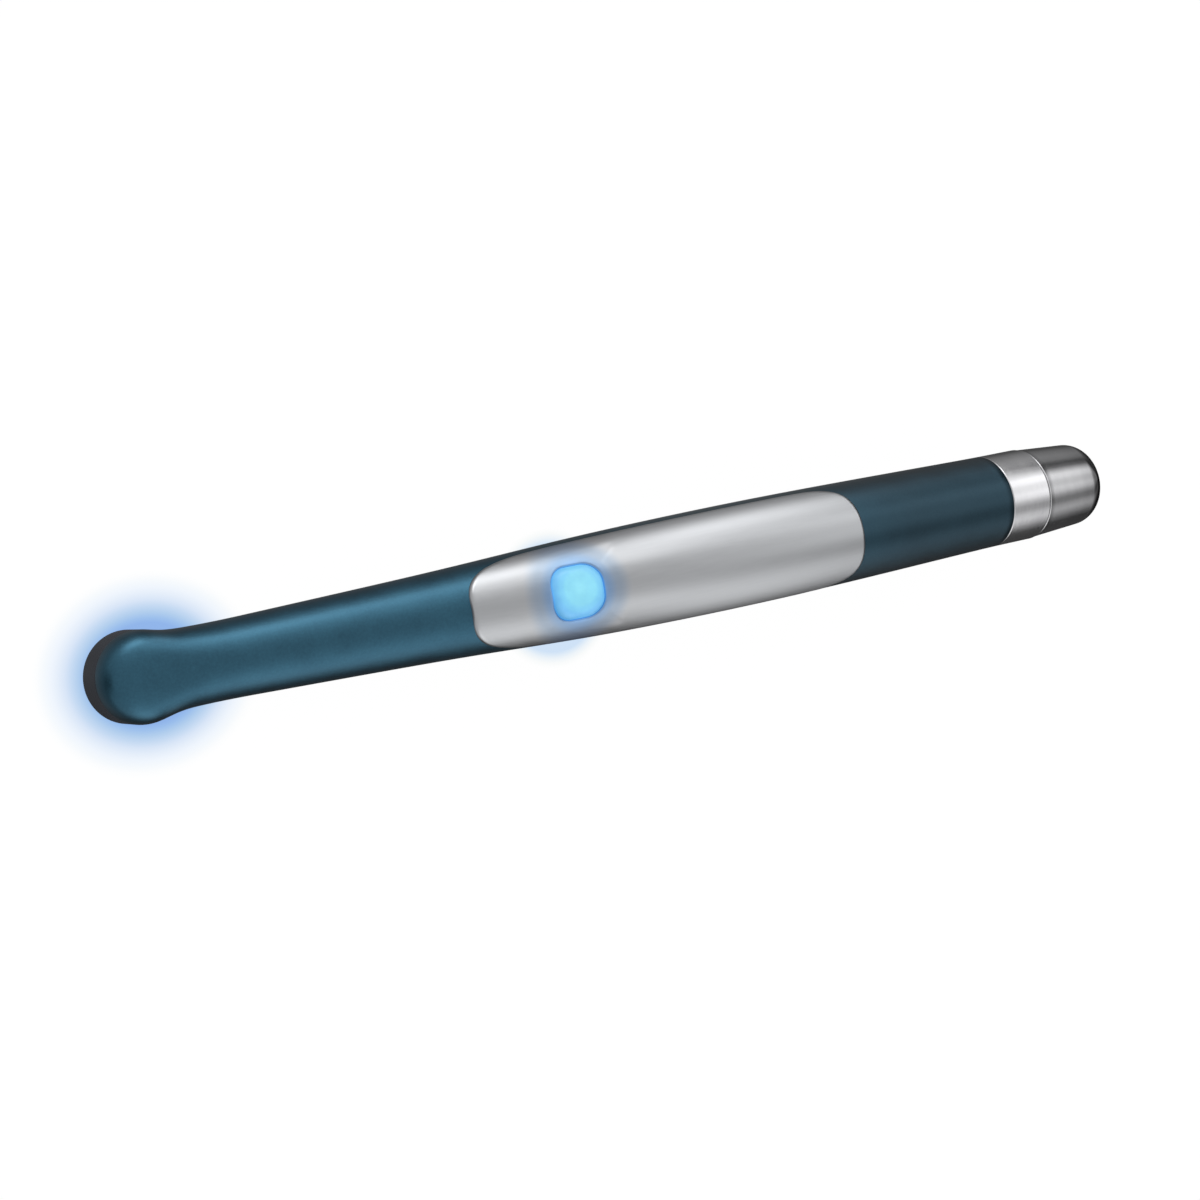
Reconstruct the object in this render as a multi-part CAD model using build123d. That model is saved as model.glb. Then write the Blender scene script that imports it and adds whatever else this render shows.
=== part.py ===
from build123d import *
import math
import os

# Cordless dental curing light, a slim one-piece metal wand.
# +X runs from the lit head to the screw cap, +Y is sideways, +Z is the side with the control panel.
# The wand lies on the surface z = 0, on its lens ring and on its tail. All sizes are in millimetres.

# ---------------------------------------------------------------- driving dimensions
overall_length = 235.0
tail_radius = 10.0
cap_length = 18.7
collar_length = 10.6

head_radius = 8.67
head_height = 12.7
bezel_height = 6.5
dome_wall = 1.0
neck_half_width = 7.35
neck_top = 14.0
neck_lift = 2.2
neck_setback = 16.8
head_drop = 1.2
section_spacing = 8.0

grip_waist = 1.38
grip_lift = 0.66
grip_to_tail = 138.2
shoulder_swell = 0.22
shoulder_lift = 1.3
shoulder_to_tail = 100.2
belly_swell = 0.72
belly_lift = 0.8
belly_to_tail = 60.2

panel_length = 91.8
panel_to_tail = 42.5
panel_half_angle = 67.0
panel_proud = 0.7
panel_sunk = 0.5
panel_front_corner = 6.6
panel_rear_corner = 5.4
panel_edge_radius = 0.9
gasket_thickness = 0.4

button_to_panel_front = 22.2
button_length = 10.6
button_width = 10.2
button_corner = 3.6
button_crown = 0.9
button_edge_radius = 1.1
button_gap = 0.2
button_flange = 0.9
button_flange_thickness = 0.8
button_travel = 0.5
button_free_play = 0.1
opening_chamfer = 0.4
button_skin_reach = 24.0

pocket_half_width = 6.3
pocket_end_gap = 4.4
pocket_corner = 2.0
board_thickness = 1.0
board_half_width = 6.0
board_front_gap = 3.0
board_rear_gap = 4.5
carrier_height = 5.6
carrier_rim = 1.5
carrier_end = 6.0
screw_radius = 0.8
screw_head_radius = 1.4
screw_head_height = 0.9
screw_length = 4.5
screw_hole_spare = 0.2
washer_gap = 0.02

switch_side = 5.2
switch_height = 1.8
switch_floor = 0.3
stem_radius = 1.1
guide_plate = 0.8
guide_gap = 0.1
membrane_thickness = 0.6
membrane_rim = 0.6
membrane_rim_height = 0.5
button_led_length = 0.8
button_led_half_width = 0.8
button_led_height = 0.7

processor_side = 6.0
processor_height = 1.0
driver_side = 4.0
driver_height = 0.9
charger_side = 3.0
charger_height = 0.8
accelerometer_side = 3.0
accelerometer_height = 0.9
inductor_radius = 4.0
inductor_core_radius = 3.2
inductor_height = 4.0
inductor_flange = 0.8
socket_setback = 1.2
socket_length = 5.0
socket_half_width = 2.5
socket_height = 2.4

battery_radius = 7.1
battery_length = 50.0
battery_tip_radius = 2.8
battery_tip_length = 1.2
battery_edge_radius = 0.5
battery_tip_edge_radius = 0.3
sleeve_thickness = 0.75
spring_length = 7.6
spring_radius = 4.6
spring_wire = 0.4
spring_turns = 4
bulkhead_thickness = 5.6
contact_radius = 4.0
contact_thickness = 0.8
contact_stud_radius = 1.4
contact_stud_reach = 1.5
lead_thickness = 0.4
lead_lap = 2.0
bush_radius = 2.4
bush_flange_radius = 6.0
bush_flange_thickness = 1.0
bush_reach = 0.4

collar_spigot_radius = 8.6
collar_spigot_length = 4.1
thread_radius = 8.45
thread_length = 6.4
cap_wall_clear = 0.4
plate_thickness = 2.5
plate_boss = 1.2
seal_wire = 0.33
cap_start_radius = 9.88
cap_shoulder_radius = 8.8
cap_corner_radius = 5.2
cap_dome_height = 1.0
rim_chamfer = 0.2
seal_to_cap_face = 1.0

lip_height = 0.8
lip_radius = 5.8
bezel_wall = 2.1
bezel_foot_chamfer = 0.35
bezel_spigot_wall = 0.75
bezel_spigot_height = 1.6
seal_height = 0.5
lens_thickness = 2.2
lens_curve_ratio = 1.6
reflector_mouth_wall = 0.4
reflector_throat = 2.7
led_board_thickness = 1.0
chip_side = 1.3
chip_height = 0.35
chip_spread = 0.65
pad_thickness = 0.2
slug_thickness = 2.4
wire_radius = 0.55
wire_pitch = 1.6
wire_bend = 1.3
channel_radius = 1.9
channel_height = 9.3

# clearances
glue_fit = 0.03
slide_fit = 0.07
loose_fit = 0.3
touching = 0.01
small_gap = 0.1
seal_squeeze = 0.05
overcut = 1.0

# ---------------------------------------------------------------- places along the wand
tip_x = -overall_length / 2
head_x = tip_x + head_radius
neck_x = head_x + neck_setback
cap_x = overall_length / 2 - cap_length
collar_x = cap_x - collar_length
grip_x = collar_x - grip_to_tail
shoulder_x = collar_x - shoulder_to_tail
belly_x = collar_x - belly_to_tail
panel_rear = collar_x - panel_to_tail
panel_front = panel_rear - panel_length
button_x = panel_front + button_to_panel_front
pocket_front = panel_front + pocket_end_gap
pocket_rear = panel_rear - pocket_end_gap

neck_mid = neck_top - neck_half_width
head_mid = neck_mid - head_drop
dome_rise = head_height - bezel_height
grip_radius = tail_radius - grip_waist
shoulder_radius = tail_radius + shoulder_swell
belly_radius = tail_radius + belly_swell


def curve_through(points, x):
    """Smooth curve through a few (place, value) points, level before the first and after the last."""
    if x <= points[0][0]:
        return points[0][1]
    if x >= points[-1][0]:
        return points[-1][1]
    slopes = []
    for i, (place, value) in enumerate(points):
        before = points[max(i - 1, 0)]
        after = points[min(i + 1, len(points) - 1)]
        slopes.append((after[1] - before[1]) / (after[0] - before[0]))
    for i in range(len(points) - 1):
        x0, y0 = points[i]
        x1, y1 = points[i + 1]
        if x <= x1:
            span = x1 - x0
            t = (x - x0) / span
            rise = (1 - t) * (1 - t) * t * slopes[i] * span - t * t * (1 - t) * slopes[i + 1] * span
            return y0 * (1 + 2 * t) * (1 - t) ** 2 + y1 * t * t * (3 - 2 * t) + rise


def half_width(x):
    """Half the wand's width."""
    stations = [
        (neck_x, neck_half_width),
        (grip_x, grip_radius),
        (shoulder_x, shoulder_radius),
        (belly_x, belly_radius),
        (collar_x, tail_radius),
    ]
    return curve_through(stations, x)


def middle_height(x):
    """Height of the widest line."""
    stations = [
        (head_x, head_mid),
        (neck_x, neck_mid),
        (grip_x, grip_lift + grip_radius),
        (shoulder_x, shoulder_lift + shoulder_radius),
        (belly_x, belly_lift + belly_radius),
        (collar_x, tail_radius),
    ]
    return curve_through(stations, x)


def bottom_drop(x):
    """Depth of the underside below the widest line. The neck is flatter underneath than on top."""
    stations = [(neck_x, neck_half_width - (neck_mid - neck_lift)), (grip_x, 0.0)]
    return half_width(x) - curve_through(stations, x)


def half_outline(x, offset, height, count=16):
    """Upper or lower half of the wand's cross-section at x, from one side to the other."""
    side = 1 if height > 0 else -1
    width = half_width(x) + offset
    points = []
    for i in range(count + 1):
        angle = math.pi * i / count
        points.append(Vector(x, side * width * math.cos(angle), middle_height(x) + height * math.sin(angle)))
    knots = [float(i) for i in range(count + 1)]
    return Edge.make_spline(points, tangents=[Vector(0, 0, side), Vector(0, 0, -side)], parameters=knots)


def outline_face(x, offset=0.0):
    """Cross-section of the wand at x, grown by offset: round, or flatter underneath at the neck."""
    upper = half_outline(x, offset, half_width(x) + offset)
    lower = half_outline(x, offset, -(bottom_drop(x) + offset))
    return Face(Wire([upper, lower]))


def evenly(x_from, x_to, spacing):
    """Places between two ends, both included, at most the spacing apart."""
    steps = max(2, math.ceil((x_to - x_from) / spacing))
    return [x_from + (x_to - x_from) * i / steps for i in range(steps + 1)]


def wand_skin(places, offset=0.0):
    """Solid of the wand's outer form through its cross-sections, grown by offset."""
    return Solid.make_loft([outline_face(x, offset).outer_wire() for x in places])


def surface_height(x, y, offset=0.0):
    """Height of the wand's top surface above the point (x, y)."""
    width = half_width(x) + offset
    return middle_height(x) + math.sqrt(max(0.0, width**2 - y**2))


def tube_x(x_from, x_to, radius, z=tail_radius, inner=0.0):
    """Cylinder or tube along X, centred on height z."""
    plane = Plane(origin=(x_from, 0, z), x_dir=(0, 1, 0), z_dir=(1, 0, 0))
    profile = Circle(radius)
    if inner:
        profile = profile - Circle(inner)
    return extrude(plane * profile, amount=x_to - x_from)


def disc_z(z_from, z_to, radius, inner=0.0, x=head_x, y=0.0):
    """Disc or ring standing along Z."""
    profile = Circle(radius)
    if inner:
        profile = profile - Circle(inner)
    return extrude(Plane.XY.offset(z_from) * Pos(x, y) * profile, amount=z_to - z_from)


def block(x_from, x_to, half_y, z_from, z_to, y=0.0):
    """Box between two places and two heights."""
    size = (x_to - x_from, 2 * half_y, z_to - z_from)
    return Pos((x_from + x_to) / 2, y, (z_from + z_to) / 2) * Box(*size)


def rounded_block(x, y_size, x_size, corner, z_from, z_to, taper=0.0):
    """Upright prism with rounded corners, centred on x."""
    face = Plane.XY.offset(z_from) * Pos(x, 0) * RectangleRounded(x_size, y_size, corner)
    return extrude(face, amount=z_to - z_from, taper=taper)


def round_rim(shape, radius):
    """Round the edge all the way round a solid's topmost face."""
    solid = shape.solid()
    top_face = max(solid.faces(), key=lambda f: f.center().Z)
    return Part() + solid.fillet(radius, top_face.outer_wire().edges())


os.makedirs("parts", exist_ok=True)


def save(shape, name):
    export_step(shape, "parts/" + name + ".step")


# ---------------------------------------------------------------- heights of the electronics
flange_half = button_width / 2 + button_flange
flange_top = (
    surface_height(button_x - button_length / 2 - button_flange, flange_half, -panel_sunk) - loose_fit
)
flange_bottom = flange_top - button_flange_thickness
membrane_top = flange_bottom - button_free_play / 2
membrane_bottom = membrane_top - membrane_thickness
stem_top = membrane_bottom - button_free_play / 2
guide_top = membrane_bottom - membrane_rim_height
guide_bottom = guide_top - guide_plate
switch_top = guide_bottom - guide_gap
board_top = switch_top - switch_height
board_bottom = board_top - board_thickness
carrier_top = board_bottom - glue_fit
carrier_bottom = carrier_top - carrier_height
pocket_floor = carrier_bottom - glue_fit
above_all = belly_lift + 2.4 * belly_radius
stem_travel = button_travel - button_free_play
board_front = pocket_front + board_front_gap
board_rear = pocket_rear - board_rear_gap

# ---------------------------------------------------------------- places along the battery bay
bay_z = tail_radius
bay_front = pocket_rear + bulkhead_thickness
bay_radius = battery_radius + slide_fit + sleeve_thickness + glue_fit
contact_face = bay_front + bush_flange_thickness + contact_thickness
battery_front = contact_face + button_free_play + battery_tip_length
battery_rear = battery_front + battery_length
cap_bore = battery_radius + cap_wall_clear
plate_front = battery_rear + spring_length + button_free_play
cap_floor = plate_front + plate_thickness + glue_fit

# ---------------------------------------------------------------- heights in the head
bezel_bore = head_radius - bezel_wall
spigot_radius = bezel_bore + bezel_spigot_wall
lens_bottom = lip_height + seal_height
lens_top = lens_bottom + lens_thickness
led_board_bottom = bezel_height
led_board_top = led_board_bottom + led_board_thickness
slug_bottom = led_board_top + pad_thickness
slug_top = slug_bottom + slug_thickness
head_fit_radius = bezel_bore - slide_fit
solder_x = head_x + 0.75 * bezel_bore
wire_notch = wire_pitch / 2 + 2 * wire_radius
wire_start_z = led_board_top + seal_squeeze
wire_rise_x = pocket_front + board_front_gap / 2


# ---------------------------------------------------------------- control panel and its seat
def panel_plan(half_y, z, inset):
    """Flat outline of the panel at height z, rounder at the front corners than at the rear ones."""
    front = panel_front + inset
    rear = panel_rear - inset
    half = half_y - inset
    face = make_face(Polyline((front, -half), (rear, -half), (rear, half), (front, half), close=True))
    face = fillet([v for v in face.vertices() if abs(v.X - front) < 1e-3], panel_front_corner - inset)
    face = fillet([v for v in face.vertices() if abs(v.X - rear) < 1e-3], panel_rear_corner - inset)
    return Plane.XY.offset(z) * face


def panel_zone(inset=0.0):
    """Block that cuts the panel's outline: upright ends, and sides that lean out from the axis."""
    axis_z = middle_height(button_x)
    angle = math.radians(panel_half_angle)
    low = half_width(panel_front) - panel_sunk - 2 * gasket_thickness
    high = (belly_radius + belly_lift + 3 * panel_proud) / math.cos(angle)
    return loft(
        [
            panel_plan(low * math.sin(angle), axis_z + low * math.cos(angle), inset),
            panel_plan(high * math.sin(angle), axis_z + high * math.cos(angle), inset),
        ],
        ruled=True,
    )


panel_places = evenly(panel_front - panel_front_corner, panel_rear + panel_rear_corner, section_spacing)


def panel_layer(low, high, inset):
    """Curved plate that follows the wand's surface between two offsets from it."""
    return (panel_zone(inset) & wand_skin(panel_places, high)) - wand_skin(panel_places, low)


def pocket_block(grow=0.0):
    """Upright block of the electronics pocket, open at the top."""
    return rounded_block(
        (pocket_front + pocket_rear) / 2,
        2 * (pocket_half_width + grow),
        pocket_rear - pocket_front + 2 * grow,
        pocket_corner + grow,
        pocket_floor,
        above_all,
    )


opening = rounded_block(
    button_x,
    button_width + 2 * button_gap,
    button_length + 2 * button_gap,
    button_corner + button_gap,
    flange_bottom,
    above_all,
)
control_panel = panel_layer(-panel_sunk, panel_proud, glue_fit)
control_panel = round_rim(control_panel, panel_edge_radius) - opening
mouth = [
    e
    for e in control_panel.edges()
    if abs(e.center().X - button_x) < button_length
    and e.center().Z > surface_height(button_x, button_width / 2 + button_gap, panel_proud) - 0.4
    and abs(e.center().Y) < button_width / 2 + 2 * button_gap
    and abs(e.tangent_at(0.5).Z) < 0.9
]
control_panel = chamfer(mouth, opening_chamfer)
save(control_panel, "control_panel")

panel_gasket = panel_layer(-panel_sunk - gasket_thickness, -panel_sunk - glue_fit, 4 * glue_fit)
panel_gasket = panel_gasket - pocket_block(glue_fit)
save(panel_gasket, "panel_gasket")

# ---------------------------------------------------------------- wand body
neck_places = evenly(head_x, neck_x, section_spacing)[:-1] + evenly(neck_x, collar_x, section_spacing)
wand_body = wand_skin(neck_places) - block(
    tip_x - overcut, head_x + 0.7 * head_radius, 1.5 * head_radius, -overcut, bezel_height + dome_wall / 2
)
dome_side = Spline(
    (head_radius, bezel_height + dome_wall),
    (0.8 * head_radius, head_height - 0.25 * dome_rise),
    (0, head_height),
    tangents=[(0, 1), (-1, 0)],
)
dome_profile = make_face(
    dome_side
    + Polyline(
        (0, head_height),
        (0, bezel_height),
        (head_radius, bezel_height),
        (head_radius, bezel_height + dome_wall),
    )
)
dome_plane = Plane(origin=(head_x, 0, 0), x_dir=(1, 0, 0), z_dir=(0, -1, 0))
wand_body = wand_body + revolve(dome_plane * dome_profile, axis=Axis((head_x, 0, 0), (0, 0, 1)))
wand_body = wand_body - disc_z(-overcut, bezel_height, head_radius + glue_fit)
wand_body = wand_body - disc_z(bezel_height - overcut, slug_top + glue_fit, spigot_radius + glue_fit)
wand_body = wand_body - tube_x(solder_x, wire_rise_x + channel_radius, channel_radius, channel_height)
wand_body = wand_body - pocket_block()
wand_body = wand_body - tube_x(pocket_rear - pocket_corner, bay_front + overcut, bush_radius + glue_fit)
wand_body = wand_body - tube_x(bay_front, collar_x + overcut, bay_radius)
wand_body = wand_body - tube_x(
    collar_x - collar_spigot_length, collar_x + overcut, collar_spigot_radius + glue_fit
)
seat = panel_zone() - wand_skin(panel_places, -panel_sunk - gasket_thickness - glue_fit)
wand_body = wand_body - seat
save(wand_body, "wand_body")

# ---------------------------------------------------------------- head: ring, lens and light source
head_bezel = disc_z(0, bezel_height - glue_fit, head_radius, bezel_bore)
head_bezel = head_bezel + disc_z(0, lip_height, head_radius, lip_radius)
head_bezel = head_bezel + disc_z(lip_height, bezel_height + bezel_spigot_height, spigot_radius, bezel_bore)
foot_edges = head_bezel.edges().filter_by(GeomType.CIRCLE).group_by(Axis.Z)[0]
head_bezel = chamfer(foot_edges, bezel_foot_chamfer)
save(head_bezel, "head_bezel")

save(disc_z(lip_height, lens_bottom, head_fit_radius, lip_radius), "lens_seal")

lens_curve = lens_curve_ratio * head_radius
lens = disc_z(lens_bottom + glue_fit, lens_top, head_fit_radius)
lens = lens & (Pos(head_x, 0, lens_top - lens_curve) * Sphere(lens_curve))
save(lens, "lens")

reflector = disc_z(lens_top + glue_fit, led_board_bottom - glue_fit, head_fit_radius)
cone_height = led_board_bottom - lens_top
cone = Pos(head_x, 0, lens_top + cone_height / 2) * Cone(
    head_fit_radius - reflector_mouth_wall, reflector_throat, cone_height
)
save(reflector - cone, "reflector")

chips = Part() + [
    Pos(
        head_x + i * chip_side * chip_spread,
        j * chip_side * chip_spread,
        led_board_bottom - chip_height / 2 - touching,
    )
    * Box(chip_side, chip_side, chip_height)
    for i in (-1, 1)
    for j in (-1, 1)
]
save(chips, "led_chips")

save(disc_z(led_board_bottom, led_board_top, head_fit_radius), "led_board")

notch = block(
    solder_x - 2 * wire_radius, head_x + head_radius, wire_notch, led_board_top - overcut, slug_top + overcut
)
thermal_pad = disc_z(led_board_top + touching, slug_bottom - touching, head_fit_radius)
save(thermal_pad - notch, "thermal_pad")
save(disc_z(slug_bottom, slug_top, head_fit_radius) - notch, "heat_slug")

socket_front = board_front + socket_setback
wire_end_z = board_top + socket_height / 2
wires = Part()
for side in (-1, 1):
    y = side * wire_pitch / 2
    path = FilletPolyline(
        (solder_x, y, wire_start_z),
        (solder_x, y, channel_height),
        (wire_rise_x, y, channel_height),
        (wire_rise_x, y, wire_end_z),
        (socket_front - glue_fit, y, wire_end_z),
        radius=wire_bend,
    )
    start = Plane(origin=(solder_x, y, wire_start_z), z_dir=(0, 0, 1))
    wires = wires + sweep(start * Circle(wire_radius), path=path)
save(wires, "led_wires")

# ---------------------------------------------------------------- power button and its switch
power_button = rounded_block(button_x, button_width, button_length, button_corner, flange_top, above_all)
button_places = evenly(button_x - button_skin_reach, button_x + button_skin_reach, section_spacing)
power_button = power_button & wand_skin(button_places, panel_proud + button_crown)
power_button = round_rim(power_button, button_edge_radius) + rounded_block(
    button_x,
    button_width + 2 * button_flange,
    button_length + 2 * button_flange,
    button_corner + button_flange,
    flange_bottom,
    flange_top,
)
save(power_button, "power_button")

guide_length = button_length + button_flange
guide_width = button_width + button_flange
button_membrane = rounded_block(
    button_x, guide_width, guide_length, button_corner, membrane_bottom, membrane_top
) + (
    rounded_block(button_x, guide_width, guide_length, button_corner, guide_top + touching, membrane_top)
    - rounded_block(
        button_x,
        guide_width - 2 * membrane_rim,
        guide_length - 2 * membrane_rim,
        button_corner - membrane_rim,
        guide_top,
        membrane_top,
    )
)
save(button_membrane, "button_membrane")

leg_y = guide_width / 2 - guide_plate
light_guide = rounded_block(button_x, guide_width, guide_length, button_corner / 2, guide_bottom, guide_top)
for side in (-1, 1):
    leg_from = button_x - guide_length / 2 + button_corner
    leg_to = button_x + guide_length / 2 - button_corner
    light_guide = light_guide + block(
        leg_from, leg_to, guide_plate / 2, board_top + touching, guide_top, side * (leg_y + guide_plate / 2)
    )
light_guide = light_guide - disc_z(
    guide_bottom - overcut, guide_top + overcut, stem_radius + loose_fit, x=button_x
)
save(light_guide, "light_guide")

button_leds = Part() + [
    block(
        x - button_led_length / 2,
        x + button_led_length / 2,
        button_led_half_width,
        board_top + touching,
        board_top + button_led_height,
    )
    for x in (button_x - 0.4 * button_length, button_x + 0.4 * button_length)
]
save(button_leds, "button_leds")

stem_bottom = board_top + switch_floor + stem_travel + small_gap
tact_switch = block(
    button_x - switch_side / 2, button_x + switch_side / 2, switch_side / 2, board_top + touching, switch_top
)
tact_switch = tact_switch - disc_z(
    board_top + switch_floor, switch_top + overcut, stem_radius + slide_fit, x=button_x
)
save(tact_switch, "tact_switch")
save(disc_z(stem_bottom, stem_top, stem_radius, x=button_x), "switch_stem")

# ---------------------------------------------------------------- circuit board and its carrier
screw_places = [
    (x, y)
    for x in (board_front + carrier_end / 2, board_rear - carrier_end / 2)
    for y in (-0.75 * board_half_width, 0.75 * board_half_width)
]
screw_hole_depth = screw_length + screw_hole_spare
main_board = block(board_front, board_rear, board_half_width, board_bottom, board_top)
board_carrier = block(board_front, board_rear, board_half_width + carrier_rim / 10, carrier_bottom, carrier_top)
board_carrier = board_carrier - block(
    board_front + carrier_end,
    board_rear - carrier_end,
    board_half_width - carrier_rim,
    carrier_bottom + carrier_rim,
    carrier_top + overcut,
)
screws = Part()
for x, y in screw_places:
    hole = disc_z(board_top - screw_hole_depth, board_top + overcut, screw_radius + glue_fit, x=x, y=y)
    main_board = main_board - hole
    board_carrier = board_carrier - hole
    shank = disc_z(board_top - screw_length, board_top + 2 * washer_gap, screw_radius, x=x, y=y)
    head = disc_z(board_top + washer_gap, board_top + screw_head_height, screw_head_radius, x=x, y=y)
    drive = disc_z(
        board_top + screw_head_height / 2, board_top + overcut, screw_head_radius / 2, x=x, y=y
    )
    screws = screws + (shank + head - drive)
save(main_board, "main_board")
save(board_carrier, "board_carrier")
save(screws, "board_screws")

# processor, lamp driver and charger, in a row behind the button
chip_places = [
    (button_x + 16.0, 0.0, processor_side, processor_height),
    (button_x + 26.0, 0.0, driver_side, driver_height),
    (button_x + 33.0, 3.0, charger_side, charger_height),
]
board_chips = Part() + [
    block(x - side / 2, x + side / 2, side / 2, board_top + touching, board_top + height, y)
    for x, y, side, height in chip_places
]
save(board_chips, "board_chips")
accelerometer_x = button_x + 8.0
accelerometer = block(
    accelerometer_x,
    accelerometer_x + accelerometer_side,
    accelerometer_side / 2,
    board_top + touching,
    board_top + accelerometer_height,
    -accelerometer_side,
)
save(accelerometer, "accelerometer")

inductor_x = board_rear - carrier_end - 1.5 * inductor_radius
inductor_top = board_top + inductor_height
inductor = disc_z(board_top + touching, inductor_top, inductor_core_radius, x=inductor_x)
inductor = inductor + disc_z(board_top + touching, board_top + inductor_flange, inductor_radius, x=inductor_x)
inductor = inductor + disc_z(inductor_top - inductor_flange, inductor_top, inductor_radius, x=inductor_x)
save(inductor, "inductor")

wire_socket = block(
    socket_front,
    socket_front + socket_length,
    socket_half_width,
    board_top + touching,
    board_top + socket_height,
)
save(wire_socket, "wire_socket")

# ---------------------------------------------------------------- battery bay
stud_tip = pocket_rear - contact_stud_reach
contact_bush = tube_x(
    pocket_rear - bush_reach, bay_front + small_gap, bush_radius, inner=contact_stud_radius + glue_fit
)
contact_bush = contact_bush + tube_x(
    bay_front + touching,
    bay_front + bush_flange_thickness,
    bush_flange_radius,
    inner=contact_stud_radius + glue_fit,
)
save(contact_bush, "contact_bush")

front_contact = tube_x(bay_front + bush_flange_thickness + touching, contact_face, contact_radius)
front_contact = front_contact + tube_x(stud_tip, contact_face - small_gap, contact_stud_radius)
save(front_contact, "front_contact")

battery_lead = block(
    stud_tip - lead_thickness,
    stud_tip - touching,
    contact_stud_radius,
    bay_z - contact_stud_radius,
    board_top + lead_thickness,
) + block(
    board_rear - lead_lap,
    stud_tip - touching,
    contact_stud_radius,
    board_top + touching,
    board_top + lead_thickness,
)
save(battery_lead, "battery_lead")

sleeve_rear = collar_x - collar_spigot_length - small_gap
battery_sleeve = tube_x(
    bay_front + bush_flange_thickness + small_gap,
    sleeve_rear,
    bay_radius - glue_fit,
    inner=battery_radius + slide_fit,
)
save(battery_sleeve, "battery_sleeve")

battery = tube_x(battery_front, battery_rear, battery_radius)
battery = fillet(battery.edges().filter_by(GeomType.CIRCLE), battery_edge_radius)
save(battery, "battery")
tip = tube_x(battery_front - battery_tip_length, battery_front - touching, battery_tip_radius)
tip = fillet(tip.edges().filter_by(GeomType.CIRCLE).group_by(Axis.X)[0], battery_tip_edge_radius)
save(tip, "battery_tip")

# ---------------------------------------------------------------- collar, screw cap and their seals
def seal_ring(x, groove_radius):
    """Rubber ring lying in a groove round the wand's axis."""
    ring_radius = groove_radius + glue_fit + seal_wire
    plane = Plane(origin=(x, 0, bay_z), x_dir=(0, 1, 0), z_dir=(1, 0, 0))
    return plane * Torus(ring_radius, seal_wire)


groove_half = seal_wire + small_gap
collar_groove_radius = collar_spigot_radius - 2 * seal_wire - seal_squeeze
collar_groove_x = collar_x - collar_spigot_length / 2
thread_bore = thread_radius + slide_fit
thread_floor = cap_x - thread_length - loose_fit
tail_collar = tube_x(collar_x + glue_fit, cap_x - glue_fit, tail_radius, inner=cap_bore)
rims = tail_collar.edges().filter_by(GeomType.CIRCLE).filter_by(lambda e: e.radius > tail_radius - small_gap)
tail_collar = chamfer(rims, rim_chamfer)
tail_collar = tail_collar + tube_x(
    collar_x - collar_spigot_length + glue_fit, collar_x + overcut, collar_spigot_radius, inner=cap_bore
)
tail_collar = tail_collar - tube_x(
    collar_groove_x - groove_half,
    collar_groove_x + groove_half,
    collar_spigot_radius + overcut,
    inner=collar_groove_radius,
)
tail_collar = tail_collar - tube_x(thread_floor, cap_x, thread_bore)
save(tail_collar, "tail_collar")
save(seal_ring(collar_groove_x, collar_groove_radius), "collar_seal")

cap_front = cap_x + small_gap
cap_end = overall_length / 2
corner_x = cap_end - cap_dome_height
dome_radius = (cap_shoulder_radius**2 + cap_dome_height**2) / (2 * cap_dome_height)
half_shoulder = cap_shoulder_radius / 2
dome_mid_x = cap_end - dome_radius + math.sqrt(dome_radius**2 - half_shoulder**2)
cap_edge = Polyline(
    (cap_end, 0), (cap_front, 0), (cap_front, cap_start_radius), (corner_x, cap_shoulder_radius)
)
cap_dome = ThreePointArc((corner_x, cap_shoulder_radius), (dome_mid_x, half_shoulder), (cap_end, 0))
cap_profile = make_face(cap_edge + cap_dome)
corner = [v for v in cap_profile.vertices() if abs(v.X - corner_x) < touching]
cap_profile = fillet(corner, cap_corner_radius)
front_rim = [v for v in cap_profile.vertices() if abs(v.X - cap_front) < touching and v.Y > thread_radius]
cap_profile = chamfer(front_rim, rim_chamfer)
cap_plane = Plane(origin=(0, 0, bay_z), x_dir=(1, 0, 0), z_dir=(0, -1, 0))
end_cap = revolve(cap_plane * cap_profile, axis=Axis((0, 0, bay_z), (1, 0, 0)))
end_cap = end_cap + tube_x(cap_x - thread_length, cap_front + overcut, thread_radius)
cap_groove_radius = thread_radius - 2 * seal_wire - seal_squeeze
cap_groove_x = cap_x - seal_to_cap_face
end_cap = end_cap - tube_x(
    cap_groove_x - groove_half, cap_groove_x + groove_half, thread_radius + overcut, inner=cap_groove_radius
)
end_cap = end_cap - tube_x(cap_x - thread_length - overcut, cap_floor, cap_bore)
save(end_cap, "end_cap")
save(seal_ring(cap_groove_x, cap_groove_radius), "cap_seal")

plate_radius = cap_bore - loose_fit
contact_plate = tube_x(plate_front, plate_front + plate_thickness, plate_radius)
contact_plate = contact_plate + tube_x(
    plate_front - plate_boss, plate_front + small_gap, spring_radius - spring_wire - slide_fit
)
save(contact_plate, "contact_plate")

coil_height = spring_length - 2 * spring_wire - small_gap
coil = Helix(
    pitch=coil_height / spring_turns,
    height=coil_height,
    radius=spring_radius,
    center=(battery_rear + spring_wire + small_gap / 2, 0, bay_z),
    direction=(1, 0, 0),
)
tail_spring = sweep(Plane(origin=coil @ 0, z_dir=coil % 0) * Circle(spring_wire), path=coil, is_frenet=True)
save(tail_spring, "tail_spring")
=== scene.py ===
import bmesh
import bpy
import math
import numpy as np
from mathutils import Matrix, Vector


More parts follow.
